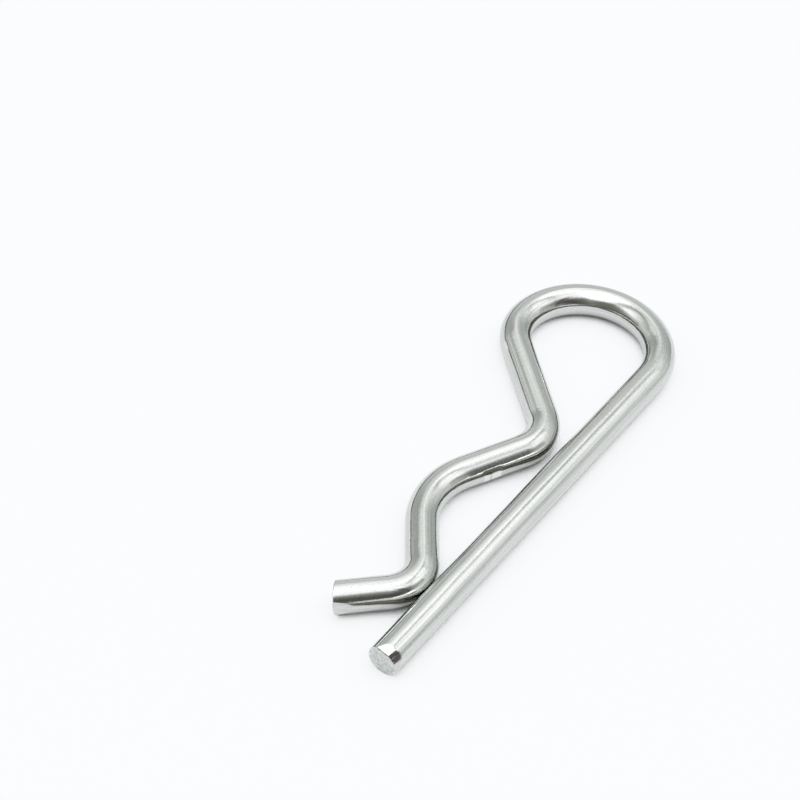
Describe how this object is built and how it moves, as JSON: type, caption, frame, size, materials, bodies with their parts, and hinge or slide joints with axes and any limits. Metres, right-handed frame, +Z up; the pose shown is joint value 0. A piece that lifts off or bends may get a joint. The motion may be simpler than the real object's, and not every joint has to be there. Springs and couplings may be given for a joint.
{
  "type": "hitch r clip pin",
  "caption": "Spring wire R clip: the straight leg goes through a shaft's cross hole and the waved arm snaps over the outside of the shaft, with a loop as spring and finger grip.",
  "frame": {"origin": "on the axis of the shaft that the clip secures, level with the surface that the clip lies on", "axes": "+X along the leg from its cut end to the loop, +Y from the leg to the arm, +Z up along the axis of the shaft, square to the flat clip"},
  "size_m": [0.0692, 0.0222, 0.004],
  "materials": {
    "spring_steel_wire": "tumbled and polished stainless spring wire"
  },
  "bodies": {
    "root": {"wire_clip": "spring_steel_wire"}
  },
  "joints": []
}
